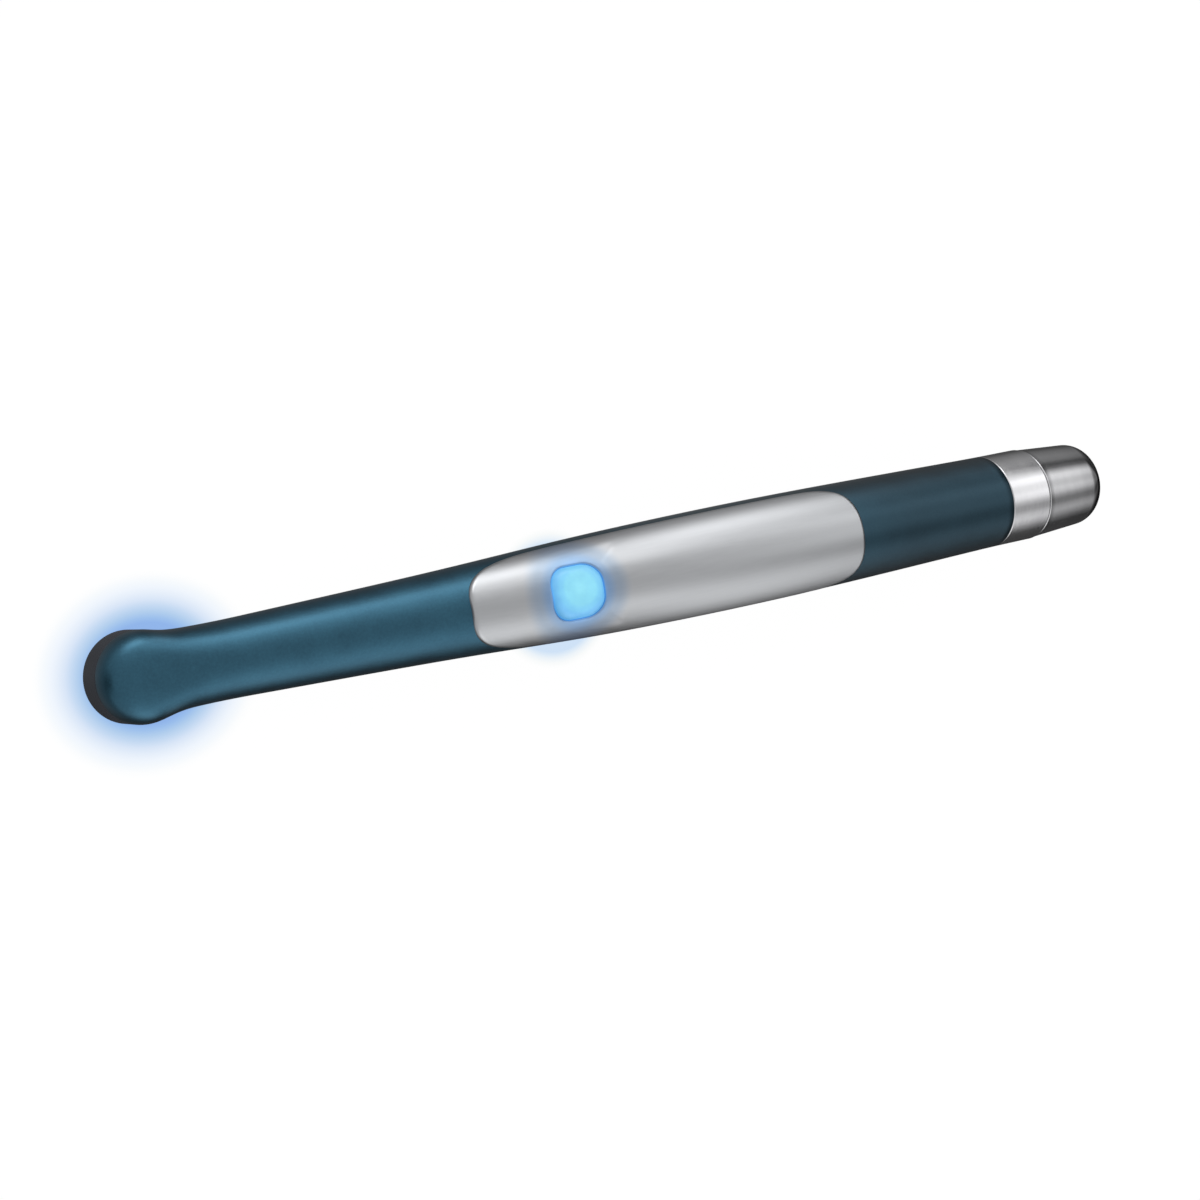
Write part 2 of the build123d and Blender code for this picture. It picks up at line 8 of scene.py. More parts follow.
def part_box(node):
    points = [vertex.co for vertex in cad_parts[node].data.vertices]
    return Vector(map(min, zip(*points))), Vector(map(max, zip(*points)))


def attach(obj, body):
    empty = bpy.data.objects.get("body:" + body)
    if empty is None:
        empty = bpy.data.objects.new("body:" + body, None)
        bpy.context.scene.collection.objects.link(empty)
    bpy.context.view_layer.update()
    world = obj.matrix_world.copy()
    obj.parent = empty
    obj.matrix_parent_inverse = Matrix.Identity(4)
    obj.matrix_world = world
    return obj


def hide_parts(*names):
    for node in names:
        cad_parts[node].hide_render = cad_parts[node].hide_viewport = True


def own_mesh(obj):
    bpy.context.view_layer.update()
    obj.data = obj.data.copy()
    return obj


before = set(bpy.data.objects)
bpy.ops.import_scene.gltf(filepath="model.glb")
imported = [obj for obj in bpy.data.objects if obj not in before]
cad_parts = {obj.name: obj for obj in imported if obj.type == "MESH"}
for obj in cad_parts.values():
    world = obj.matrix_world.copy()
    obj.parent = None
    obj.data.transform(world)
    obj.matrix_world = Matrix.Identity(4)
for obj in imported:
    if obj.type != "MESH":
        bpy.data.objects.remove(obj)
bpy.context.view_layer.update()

# ---------------------------------------------------------------- camera
# A short telephoto looks down on the wand from above its head end, rolled so that the wand
# lies almost level with its head at the left.
MM = 0.001

camera_data = bpy.data.cameras.new("camera")
camera_data.lens = 75.0
camera_data.sensor_width = 36.0
camera_data.clip_start = 0.01
camera_data.clip_end = 20.0
camera = bpy.data.objects.new("camera", camera_data)
bpy.context.scene.collection.objects.link(camera)

look_at = Vector((-12.82, -3.41, 10.0)) * MM
distance = 498.6 * MM
elevation = math.radians(58.87)
azimuth = math.radians(171.0)
roll = math.radians(88.41)
towards = Vector(
    (math.cos(elevation) * math.cos(azimuth), math.cos(elevation) * math.sin(azimuth), math.sin(elevation))
)
level_right = (-towards).cross(Vector((0, 0, 1))).normalized()
level_up = level_right.cross(-towards)
image_right = level_right * math.cos(roll) + level_up * math.sin(roll)
image_up = -level_right * math.sin(roll) + level_up * math.cos(roll)
camera.matrix_world = Matrix.Translation(look_at + towards * distance) @ Matrix(
    (image_right, image_up, towards)
).transposed().to_4x4()
bpy.context.scene.camera = camera
bpy.context.scene.view_settings.view_transform = "Standard"


# ---------------------------------------------------------------- floor and studio light
# A white sheet under the wand, with the pool of blue light that the lit head throws on it, and a
# faint one beside the button. The pools are painted on the sheet. The metal reflects the world below.
def linear(colour):
    """Linear RGBA of an sRGB hex colour."""
    channels = [int(colour[i : i + 2], 16) / 255 for i in (1, 3, 5)]
    return [c / 12.92 if c <= 0.04045 else ((c + 0.055) / 1.055) ** 2.4 for c in channels] + [1.0]


def add(tree, kind, settings=None, **links):
    """Adds a node. Settings are its properties, its sockets' values, or a colour ramp's interpolation
    and (place, colour or grey) stops; links feed its sockets."""
    made = tree.nodes.new("ShaderNode" + kind)
    for name, value in (settings or {}).items():
        if name == "interpolation":
            made.color_ramp.interpolation = value
        elif name == "stops":
            elements = made.color_ramp.elements
            while len(elements) < len(value):
                elements.new(0.5)
            for element, (place, colour) in zip(elements, value):
                element.position = place
                element.color = linear(colour) if isinstance(colour, str) else [colour] * 3 + [1.0]
        elif hasattr(made, name):
            setattr(made, name, value)
        else:
            socket = made.inputs[int(name[1:])] if name[0] == "_" else made.inputs[name]
            socket.default_value = value
    for name, source in links.items():
        socket = made.inputs[int(name[1:])] if name[0] == "_" else made.inputs[name.replace("_", " ")]
        tree.links.new(source, socket)
    return made


def spot(tree, centre_mm, reach_mm, squeeze=(1.0, 1.0, 1.0)):
    """0 at a point of the object's own space, 1 at reach from it and beyond."""
    coordinates = add(tree, "TexCoord").outputs["Object"]
    place = add(
        tree, "VectorMath", {"operation": "SUBTRACT", "_1": [c * MM for c in centre_mm]},
        _0=coordinates,
    )
    scaled = add(
        tree, "VectorMath", {"operation": "MULTIPLY", "_1": [s / (reach_mm * MM) for s in squeeze]},
        _0=place.outputs[0],
    )
    return add(tree, "VectorMath", {"operation": "LENGTH"}, _0=scaled.outputs[0]).outputs["Value"]


head_x = -108.83
button_x = -23.9
floor_mesh = bpy.data.meshes.new("floor")
floor_half = 3.0
floor_mesh.from_pydata(
    [
        (-floor_half, -floor_half, 0), (floor_half, -floor_half, 0), (floor_half, floor_half, 0),
        (-floor_half, floor_half, 0),
    ],
    [],
    [(0, 1, 2, 3)],
)
floor = bpy.data.objects.new("floor", floor_mesh)
bpy.context.scene.collection.objects.link(floor)
floor.visible_glossy = False
floor.visible_diffuse = False

# Matt white paper. Nearly all its brightness is its own, so it looks even and shows hardly any shadow.
paper = bpy.data.materials.new("white_paper_sweep")
paper.use_nodes = True
tree = paper.node_tree
tree.nodes.clear()
# the reach of each pool, in mm, round the lens and beside the button
glow_reach, button_glow_reach = 23.5, 14.6
glow_stops = [
    (0.40, "#8FB4EA"),
    (0.437, "#9BBFEC"),
    (0.484, "#B0CDED"),
    (0.532, "#C4D9F2"),
    (0.579, "#D8E5F7"),
    (0.627, "#E5EEFA"),
    (0.675, "#EFF5FD"),
    (0.722, "#F5F9FD"),
    (0.77, "#FCFDFE"),
    (0.817, "#FFFFFF"),
]
from_head = spot(tree, (head_x + 3.8, -0.2, 0), glow_reach, (0.856, 1.0, 1.0))
pool = add(tree, "ValToRGB", {"stops": glow_stops}, Fac=from_head).outputs["Color"]
spill_stops = [(0.74, "#CFE2F7"), (0.78, "#DCEAF8"), (0.83, "#ECF3F9"), (0.9, "#F9FBFB"), (0.97, "#FFFFFF")]
from_button = spot(tree, (button_x + 6.0, -2.0, 0), button_glow_reach)
button_pool = add(tree, "ValToRGB", {"stops": spill_stops}, Fac=from_button).outputs["Color"]
# the two painted pools of blue light, multiplied together, give the colour the sheet glows with
painted_pools = add(
    tree, "Mix", {"data_type": "RGBA", "blend_type": "MULTIPLY", "Factor": 1.0}, _6=pool,
    _7=button_pool,
)
lit = add(tree, "BsdfDiffuse", {"Color": (0.03, 0.03, 0.03, 1)})
glow = add(tree, "Emission", {"Strength": 0.985}, Color=painted_pools.outputs[2])
both = add(tree, "AddShader", _0=lit.outputs[0], _1=glow.outputs[0])
add(tree, "OutputMaterial", Surface=both.outputs[0])
floor_mesh.materials.append(paper)

# What the wand's metal reflects: the room's brightness by direction round the wand's length, in
# degrees from the top, + to the +Y side. A bright strip on that side, a wide weaker one on the other,
# dim above and almost black at the floor. The camera itself sees white behind the sheet.
world = bpy.data.worlds.new("studio")
bpy.context.scene.world = world
world.use_nodes = True
tree = world.node_tree
tree.nodes.clear()
direction = add(tree, "SeparateXYZ", Vector=add(tree, "TexCoord").outputs["Generated"])
lean = add(tree, "Math", {"operation": "ARCTAN2"}, _0=direction.outputs["Y"], _1=direction.outputs["Z"])
# The strips close up round the top, or spread, with the reflection's direction along the wand. These
# and the levels below were matched to how the metal looks from the main camera.
# The factors are halved here to fit a ramp, and doubled again as the angle becomes a share of a turn.
squeeze_from, squeeze_to = 0.3, 0.7
along = add(
    tree, "MapRange", {"From Min": squeeze_from, "From Max": squeeze_to}, Value=direction.outputs["X"],
)
squeeze_steps = [
    (0.345, 1.03), (0.372, 1.34), (0.42, 1.85), (0.45, 1.6), (0.48, 1.14), (0.505, 1.0), (0.54, 0.84),
    (0.59, 0.96), (0.61, 1.1), (0.66, 1.4),
]
squeeze_stops = [((x - squeeze_from) / (squeeze_to - squeeze_from), k / 2) for x, k in squeeze_steps]
squeeze = add(tree, "ValToRGB", {"stops": squeeze_stops}, Fac=along.outputs[0]).outputs["Color"]
turned = add(tree, "Math", {"operation": "MULTIPLY"}, _0=lean.outputs[0], _1=squeeze)
share = add(tree, "Math", {"operation": "MULTIPLY_ADD", "_1": 1.0 / math.pi, "_2": 0.5}, _0=turned.outputs[0])
share.use_clamp = True
brightest = 2.5
studio_steps = [
    (-170, 0.05), (-122, 0.06), (-110, 0.25), (-98, 0.7), (-84, 1.2), (-68, 1.15), (-55, 0.85),
    (-38, 0.64), (-15, 0.52), (8, 0.5),
    (28, 0.6), (45, 0.78), (54, 0.98), (61, 1.7), (68, 2.35), (76, 2.35), (84, 1.45), (93, 0.65),
    (106, 0.32), (120, 0.22), (170, 0.12),
]
studio_stops = [((a + 180) / 360, level / brightest) for a, level in studio_steps]
strips = add(tree, "ValToRGB", {"stops": studio_stops}, Fac=share.outputs[0]).outputs["Color"]
# The same for the tail's collar and cap, whose polish shows the strips sharper, and which see the
# room past the tail. Its level falls off the further back the metal looks.
tail_steps = [
    (-150, 0.05), (-102, 0.06), (-86, 0.2), (-73, 0.45), (-61, 0.68), (-50, 0.62), (-38, 0.36),
    (-28, 0.36), (-18, 0.66), (-8, 1.2),
    (2, 1.45), (13, 1.25), (22, 1.3), (30, 1.6), (40, 1.65), (50, 0.95), (61, 0.25), (74, 0.1),
    (88, 0.3), (103, 0.32), (121, 0.24), (150, 0.08),
]
lean_share = add(
    tree, "Math", {"operation": "MULTIPLY_ADD", "_1": 0.5 / math.pi, "_2": 0.5}, _0=lean.outputs[0],
)
tail_stops = [((a + 180) / 360, level / brightest) for a, level in tail_steps]
tail_strips = add(tree, "ValToRGB", {"stops": tail_stops}, Fac=lean_share.outputs[0]).outputs["Color"]
near_tail = add(tree, "MapRange", {"From Min": 0.618, "From Max": 0.645}, Value=direction.outputs["X"])
room = add(tree, "Mix", {"data_type": "RGBA"}, _0=near_tail.outputs[0], _6=strips, _7=tail_strips)
past_stops = [(0.665, 1.0), (0.73, 0.66), (0.78, 0.36), (0.9, 0.12)]
past_tail = add(tree, "ValToRGB", {"stops": past_stops}, Fac=direction.outputs["X"]).outputs["Color"]
dimmed = add(
    tree, "Mix", {"data_type": "RGBA", "blend_type": "MULTIPLY", "Factor": 1.0}, _6=room.outputs[2],
    _7=past_tail,
)
# past the head the room is even and grey, down to nearly black straight ahead
past_head = add(tree, "MapRange", {"From Min": -0.05, "From Max": -0.5}, Value=direction.outputs["X"])
above_floor = add(
    tree, "MapRange", {"From Min": -0.3, "From Max": 0.1, "To Min": 0.35}, Value=direction.outputs["Z"],
)
shown = add(tree, "Math", {"operation": "MULTIPLY"}, _0=past_head.outputs[0], _1=above_floor.outputs[0])
front_level = add(
    tree,
    "MapRange",
    {"From Min": -0.88, "From Max": -1.0, "To Min": 0.52 / brightest, "To Max": 0.06 / brightest},
    Value=direction.outputs["X"],
)
ends = add(
    tree, "Mix", {"data_type": "RGBA"}, _0=shown.outputs[0], _6=dimmed.outputs[2],
    _7=front_level.outputs[0],
)
studio = add(tree, "Background", {"Strength": brightest}, Color=ends.outputs[2])
backdrop = add(tree, "Background", {"Color": (1, 1, 1, 1), "Strength": 1.0})
seen = add(tree, "LightPath").outputs["Is Camera Ray"]
mixed = add(tree, "MixShader", _0=seen, _1=studio.outputs[0], _2=backdrop.outputs[0])
add(tree, "OutputWorld", Surface=mixed.outputs[0])

for name, place, size, power in (
    ("top_light", (0.05, 0.25, 0.9), 0.9, 1.0),
    ("low_fill", (-0.2, -0.7, 0.5), 0.6, 0.3),
):
    lamp = bpy.data.lights.new(name, "AREA")
    lamp.shape = "DISK"
    lamp.size = size
    lamp.energy = power
    light = bpy.data.objects.new(name, lamp)
    light.location = place
    light.rotation_euler = (-Vector(place)).to_track_quat("-Z", "Y").to_euler()
    light.visible_glossy = False
    bpy.context.scene.collection.objects.link(light)


# ---------------------------------------------------------------- wand body
# One aluminium tube forged and milled to shape: round head over the lamp, narrow neck, fuller grip
# and an open tail. Bead blasted and anodised dark teal. 1.3 mm wall.
head_radius = 8.67
head_height = 12.7
bezel_height = 6.5
head_middle = 5.4
neck_x = -92.03
grip_x = -50.0
shoulder_x = -12.0
belly_x = 28.0
collar_x = 88.2
cap_x = 98.8
neck_half_width = 7.35
neck_flat = 2.9
wall = 1.3


def curve_through(points, x, level_start=False):
    """Smooth curve through a few (place, value) points, level before the first and after the last."""
    if x <= points[0][0]:
        return points[0][1]
    if x >= points[-1][0]:
        return points[-1][1]
    slopes = []
    for i in range(len(points)):
        before, after = points[max(i - 1, 0)], points[min(i + 1, len(points) - 1)]
        slopes.append((after[1] - before[1]) / (after[0] - before[0]))
    if level_start:
        slopes[0] = 0.0
    for i in range(len(points) - 1):
        (x0, y0), (x1, y1) = points[i], points[i + 1]
        if x <= x1:
            span = x1 - x0
            t = (x - x0) / span
            rise = (1 - t) * (1 - t) * t * slopes[i] * span - t * t * (1 - t) * slopes[i + 1] * span
            return y0 * (1 + 2 * t) * (1 - t) ** 2 + y1 * t * t * (3 - 2 * t) + rise


def eased(points, x, level_start=False):
    """The same curve, averaged over 8 mm so that its joints don't show in the reflections."""
    reach, count = 4.0, 8
    places = [x + reach * (2 * i / count - 1) for i in range(count + 1)]
    return sum(curve_through(points, p, level_start) for p in places) / len(places)


width_places = [
    (neck_x, neck_half_width), (grip_x, 8.62), (shoulder_x, 10.22), (belly_x, 10.72), (collar_x, 10.0),
]
height_places = [
    (head_x, head_middle), (neck_x, 6.65), (grip_x, 9.28), (shoulder_x, 11.52), (belly_x, 11.52),
    (collar_x, 10.0),
]
flat_places = [(neck_x, neck_flat), (grip_x, 0.0)]
head_spread = head_radius * (head_radius - neck_half_width)
square_reach = 7.0


def head_share(x):
    """1 at the head's centre, falling to 0 along the neck. It gives the head's round plan at its start."""
    return math.exp(-((max(x, head_x) - head_x) ** 2) / (2 * head_spread))


def half_width(x):
    return eased(width_places, x) + (head_radius - neck_half_width) * head_share(x)


def middle_height(x):
    return eased(height_places, x, True)


def section_point(x, angle):
    """(y, z) on the wand's outline at x. The angle is -90 degrees underneath, 0 at the side, 90 on top."""
    share = math.exp(-((x - head_x) ** 2) / (2 * square_reach**2))
    crown = eased(width_places, x) + (head_height - head_middle - neck_half_width) * share
    drop = eased(width_places, x) - eased(flat_places, x)
    power = 2 + 0.9 * share if angle > 0 else 2 + 2 * share
    side, up = abs(math.cos(angle)) ** (2 / power), abs(math.sin(angle)) ** (2 / power)
    return half_width(x) * side, middle_height(x) + (crown * up if angle > 0 else -drop * up)


def start_angle(x):
    """Lowest angle of the outline at x that is clear of the lens ring's seat."""
    seat = head_radius + 0.03
    if x - head_x >= seat:
        return -math.pi / 2
    low, high = -math.pi / 2, math.pi / 2
    steps = 400
    for i in range(steps):
        angle = low + (high - low) * i / steps
        y, z = section_point(x, angle)
        if z >= bezel_height or (x - head_x) ** 2 + y * y >= seat * seat:
            return angle
    return high


def mesh_piece(name, points_mm, faces, material, sharp_angle=40.0):
    """A mesh object from points in millimetres, doubles merged, smooth shaded but for sharp edges."""
    mesh = bpy.data.meshes.new(name)
    mesh.from_pydata([[c * MM for c in p] for p in points_mm], [], [list(f) for f in faces])
    shape = bmesh.new()
    shape.from_mesh(mesh)
    bmesh.ops.remove_doubles(shape, verts=shape.verts, dist=0.002 * MM)
    bmesh.ops.dissolve_degenerate(shape, edges=shape.edges, dist=0.0005 * MM)
    bmesh.ops.recalc_face_normals(shape, faces=shape.faces)
    shape.to_mesh(mesh)
    shape.free()
    mesh.shade_smooth()
    mesh.set_sharp_from_angle(angle=math.radians(sharp_angle))
    mesh.materials.append(material)
    made = bpy.data.objects.new(name, mesh)
    bpy.context.scene.collection.objects.link(made)
    return made


def grain(tree, size_mm, detail=2.0, stretch=(1, 1, 1)):
    """Noise whose lumps are about size_mm across, in the piece's own space."""
    coordinates = add(tree, "TexCoord").outputs["Object"]
    scaled = add(tree, "VectorMath", {"operation": "MULTIPLY", "_1": stretch}, _0=coordinates)
    return add(
        tree, "TexNoise", {"Scale": 0.5 / (size_mm * MM), "Detail": detail}, Vector=scaled.outputs[0],
    ).outputs["Fac"]


def finish(
    name, light, dark, metallic, roughness, grain_mm, height_mm, uneven=0.1, stretch=(1, 1, 1),
    **sockets
):
    """Principled material between two near colours, with a grain in its colour, gloss and height."""
    material = bpy.data.materials.new(name)
    material.use_nodes = True
    tree = material.node_tree
    shader = tree.nodes["Principled BSDF"]
    shader.inputs["Metallic"].default_value = metallic
    for socket, value in sockets.items():
        shader.inputs[socket.replace("_", " ")].default_value = value
    fine = grain(tree, grain_mm, stretch=stretch)
    broad = grain(tree, 12 * grain_mm, stretch=stretch)
    mix = add(tree, "Math", {"operation": "MULTIPLY_ADD", "_1": 0.5}, _0=broad)
    half = add(tree, "Math", {"operation": "MULTIPLY", "_1": 0.5}, _0=fine)
    tree.links.new(half.outputs[0], mix.inputs[2])
    colour = add(
        tree, "ValToRGB", {"stops": [(0.3, dark), (0.7, light)]}, Fac=mix.outputs[0],
    ).outputs["Color"]
    tree.links.new(colour, shader.inputs["Base Color"])
    span = {"From Min": 0.3, "From Max": 0.7}
    span |= {"To Min": roughness * (1 - uneven), "To Max": roughness * (1 + uneven)}
    gloss = add(tree, "MapRange", span, Value=mix.outputs[0])
    tree.links.new(gloss.outputs[0], shader.inputs["Roughness"])
    bump = add(tree, "Bump", {"Strength": 1.0, "Distance": height_mm * MM}, Height=fine)
    tree.links.new(bump.outputs[0], shader.inputs["Normal"])
    return material


# Anodised aluminium: the dye layer tints the metal's reflections teal, and the blasted surface
# blurs them and sparkles faintly. The real grit is about 0.1 mm and is drawn at 0.25 mm to show.
anodised = finish(
    "teal_anodised_aluminium", "#386D85", "#2E5F76", 1.0, 0.33, 0.25, 0.010, 0.12, Coat_Weight=0.5,
    Coat_Roughness=0.3,
)
# painted shade: the base colour darkens towards the tail, standing in for the dimmer light the metal reflects
# there
tree = anodised.node_tree
shader = tree.nodes["Principled BSDF"]
dye = shader.inputs["Base Color"].links[0].from_socket
place = add(tree, "SeparateXYZ", Vector=add(tree, "TexCoord").outputs["Object"])
towards_tail = add(tree, "MapRange", {"From Min": -35 * MM, "From Max": 60 * MM}, Value=place.outputs["X"])
tail_shade_stops = [(0.0, "#FFFFFF"), (1.0, "#D6BCB8")]
fade = add(tree, "ValToRGB", {"stops": tail_shade_stops}, Fac=towards_tail.outputs[0]).outputs["Color"]
dye_with_tail_shade = add(tree, "Mix", {"data_type": "RGBA", "blend_type": "MULTIPLY", "Factor": 1.0}, _6=dye, _7=fade)
tree.links.new(dye_with_tail_shade.outputs[2], shader.inputs["Base Color"])

# the outline's points: below bend, half way up the side, and above it, over the panel's opening
steps_low, steps_high = 30, 18
bend = math.radians(45)
outline_steps = steps_low + steps_high
# over this length the head's even spacing of points turns into the body's
even_reach = 10.0
half_outline_top = [i / outline_steps for i in range(outline_steps + 1)]
pocket_front, pocket_rear = -41.7, 41.3
stations = [head_x]
while stations[-1] < neck_x + 6:
    stations.append(stations[-1] + 0.8)
even_step = 1.6
for end in (pocket_front, pocket_rear, collar_x):
    count = math.ceil((end - stations[-1]) / even_step)
    start = stations[-1]
    stations += [start + (end - start) * (i + 1) / count for i in range(count)]

rows = []
turn_steps = 40
head_low = start_angle(head_x)
profile = [section_point(head_x, head_low + (math.pi / 2 - head_low) * t) for t in half_outline_top]
for k in range(1, turn_steps):
    angle = math.pi / 2 + math.pi * k / turn_steps
    rows.append([(head_x + y * math.cos(angle), y * math.sin(angle), z) for y, z in profile])
points, faces = [], []


def grid_faces(first, row_count, row_length, closed=False):
    """Quads between rows of points that follow each other."""
    made = []
    for r in range(row_count - 1 + closed):
        a, b = first + r * row_length, first + (r + 1) % row_count * row_length
        made += [(a + i, a + i + 1, b + i + 1, b + i) for i in range(row_length - 1)]
    return made


dome_rows = [[(head_x, y, z) for y, z in profile]] + rows + [[(head_x, -y, z) for y, z in profile]]
for row in dome_rows:
    points += row
faces += grid_faces(0, len(dome_rows), outline_steps + 1)
tube_first = len(points)
for x in stations:
    low = start_angle(x)
    angles = [low + (bend - low) * i / steps_low for i in range(steps_low)]
    angles += [bend + (math.pi / 2 - bend) * i / steps_high for i in range(steps_high + 1)]
    if x == stations[0]:
        half = profile
    else:
        spread = (x - head_x) / even_reach
        if spread < 1:
            even = [low + (math.pi / 2 - low) * t for t in half_outline_top]
            angles = [e * (1 - spread) + a * spread for e, a in zip(even, angles)]
        half = [section_point(x, a) for a in angles]
    points += [(x, y, z) for y, z in half] + [(x, -y, z) for y, z in reversed(half[:-1])]
ring = 2 * outline_steps + 1
for face in grid_faces(tube_first, len(stations), ring):
    station, column = divmod(face[0] - tube_first, ring)
    over_pocket = pocket_front - 0.01 <= stations[station] < pocket_rear - 0.01
    if not (over_pocket and steps_low <= column < ring - 1 - steps_low):
        faces.append(face)
body = mesh_piece("body_shell", points, faces, anodised, 60)
shell = body.modifiers.new("wall", "SOLIDIFY")
shell.thickness = wall * MM
shell.offset = -1.0
shell.use_even_offset = True
edge_break = body.modifiers.new("edge_break", "BEVEL")
edge_break.width = 0.18 * MM
edge_break.segments = 2
edge_break.limit_method = "ANGLE"
edge_break.angle_limit = math.radians(50)
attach(body, "wand")
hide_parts("wand_body")


# ---------------------------------------------------------------- head: ring, lens and light source
# A black anodised ring screws up into the head and carries a rubber seal, a glass lens and the
# reflector. Four LED chips on a ceramic board sit on a copper slug under the head's dome.
def dress(node, material, sharp_angle=35.0):
    """Gives a CAD node its material, smooth shaded but for sharp edges."""
    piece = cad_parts[node]
    piece.data.materials.clear()
    piece.data.materials.append(material)
    piece.data.shade_smooth()
    piece.data.set_sharp_from_angle(angle=math.radians(sharp_angle))


def lathe(name, profile, material, centre, axis="X", steps=160, sharp_angle=30.0):
    """Solid of revolution from a closed profile of (along, radius) points, about X or upwards about Z."""
    points, faces = [], []
    count = len(profile)
    for k in range(steps):
        c, s = math.cos(2 * math.pi * k / steps), math.sin(2 * math.pi * k / steps)
        for along, radius in profile:
            if axis == "X":
                points.append((along, centre[0] + radius * c, centre[1] + radius * s))
            else:
                points.append((centre[0] + radius * c, centre[1] + radius * s, along))
    for k in range(steps):
        a, b = k * count, (k + 1) % steps * count
        faces += [(a + i, a + (i + 1) % count, b + (i + 1) % count, b + i) for i in range(count)]
    return mesh_piece(name, points, faces, material, sharp_angle)


def arc(centre, radius, from_degrees, to_degrees, count):
    """Points of an arc, as (along, radius) pairs."""
    turns = [
        math.radians(from_degrees + (to_degrees - from_degrees) * i / count) for i in range(count + 1)
    ]
    return [(centre[0] + radius * math.cos(turn), centre[1] + radius * math.sin(turn)) for turn in turns]


# Black anodised aluminium, bead blasted: a dark grey that takes a broad dull highlight.
ring_black = finish("black_anodised_aluminium", "#565A63", "#484B54", 0.6, 0.42, 0.25, 0.004, 0.1)
ring_outer = head_radius - 0.02
ring_bore = 6.57
foot = 0.2
ring_profile = (
    [(0.0, 6.3)]
    + [(0.0, ring_outer - foot)]
    + arc((foot, ring_outer - foot), foot, 180, 90, 6)[1:]
    + [(bezel_height - 0.45, ring_outer)]
    + arc((bezel_height - 0.45, ring_outer - 0.4), 0.4, 90, 0, 5)[1:]
    + [(bezel_height - 0.05, 7.31), (8.08, 7.31), (8.08, ring_bore), (0.8, ring_bore), (0.8, 5.8), (0.5, 5.8)]
)
lens_ring = lathe("lens_ring", ring_profile, ring_black, (head_x, 0), "Z", 192)
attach(lens_ring, "wand")
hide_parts("head_bezel")

# Black silicone rubber, moulded: nearly matt, with no colour of its own.
rubber = finish("black_silicone_rubber", "#26272A", "#1B1C1E", 0.0, 0.62, 0.2, 0.01, 0.1, IOR=1.42)
dress("lens_seal", rubber)

# Borosilicate glass, polished. The lamp's blue light behind it is painted on it as a glow of its own.
glass = finish(
    "polished_glass", "#E8F6FF", "#DCEFFF", 0.0, 0.03, 2.0, 0.0002, 0.2, IOR=1.47,
    Transmission_Weight=1.0, Emission_Color=linear("#3E9BFF"), Emission_Strength=0.6,
)
dress("lens", glass)
# Aluminium coated plastic: a near mirror, slightly uneven.
mirror = finish("vapour_coated_reflector", "#F2F4F7", "#E6E9EE", 1.0, 0.12, 0.6, 0.002, 0.3)
dress("reflector", mirror)
# Resin over the LED chips: a yellow phosphor, lost in the chips' blue light.
phosphor = finish(
    "led_chip_resin", "#F2C84B", "#E3B22E", 0.0, 0.35, 0.15, 0.004, 0.1,
    Emission_Color=linear("#5FB4FF"), Emission_Strength=6.0,
)
dress("led_chips", phosphor)
# Fired alumina, white and dull, with a fine grain.
ceramic = finish("white_ceramic_board", "#EDEDE8", "#DFDFD8", 0.0, 0.45, 0.3, 0.003, 0.1)
dress("led_board", ceramic)
# Filled silicone sheet, soft and quite matt.
pad = finish("grey_thermal_pad", "#8E9299", "#7C8087", 0.0, 0.8, 0.2, 0.012, 0.1)
dress("thermal_pad", pad)
# Turned copper, bare: a warm metal with soft turning marks.
copper = finish("turned_copper", "#D08A5E", "#B8734A", 1.0, 0.28, 0.3, 0.004, 0.2)
dress("heat_slug", copper)
# Silicone wire jackets, extruded: red, with a soft sheen.
wire_jacket = finish("silicone_wire_jacket", "#B8332E", "#A62A26", 0.0, 0.5, 0.2, 0.006, 0.1, IOR=1.42)
dress("led_wires", wire_jacket, 60)

# ---------------------------------------------------------------- circuit board and its carrier
# A glass fibre board on a black moulded carrier carries the driver, the switch and its lights, an
# acceleration sensor and a wound inductor. Four small steel screws hold it down.
# Green lacquer over glass fibre: glossy over a slightly uneven weave.
solder_mask = finish("green_solder_mask", "#1F6B45", "#175738", 0.0, 0.32, 0.5, 0.004, 0.15, Coat_Weight=0.3)
dress("main_board", solder_mask)
# Glass filled nylon, moulded black: dull and finely speckled.
nylon = finish("black_moulded_nylon", "#2B2C2F", "#202124", 0.0, 0.5, 0.35, 0.01, 0.12)
dress("board_carrier", nylon)
# Moulded epoxy packages: dark grey and even.
epoxy = finish("black_epoxy_package", "#232427", "#1A1B1D", 0.0, 0.4, 0.15, 0.004, 0.1)
for node in ("board_chips", "accelerometer", "tact_switch"):
    dress(node, epoxy)
# Sintered ferrite under lacquered windings: dark brown, half dull.
ferrite = finish("ferrite_and_lacquer", "#3A3633", "#2C2927", 0.1, 0.45, 0.2, 0.01, 0.15)
dress("inductor", ferrite)
# Zinc plated steel: pale and lightly hazed.
screw_steel = finish("zinc_plated_steel", "#C9CCD0", "#B2B6BB", 1.0, 0.3, 0.2, 0.003, 0.15)
dress("board_screws", screw_steel)
# Unfilled nylon, moulded white: waxy and half matt.
nylon_white = finish("white_moulded_nylon", "#E9E6DC", "#DDD9CD", 0.0, 0.45, 0.3, 0.006, 0.1)
for node in ("wire_socket", "switch_stem"):
    dress(node, nylon_white)
# Clear LED resin: smooth, with pale blue light in it.
led_resin = finish(
    "clear_led_resin", "#DFF4FF", "#CBEBFF", 0.0, 0.2, 0.3, 0.002, 0.1,
    Emission_Color=linear("#7FD4FF"), Emission_Strength=3.0,
)
dress("button_leds", led_resin)
# Acrylic, frosted to spread the light: clear inside and cloudy on its skin.
acrylic = finish(
    "frosted_acrylic", "#E4F5FF", "#D2ECFB", 0.0, 0.35, 0.15, 0.004, 0.1, IOR=1.49,
    Transmission_Weight=0.6,
)
dress("light_guide", acrylic)

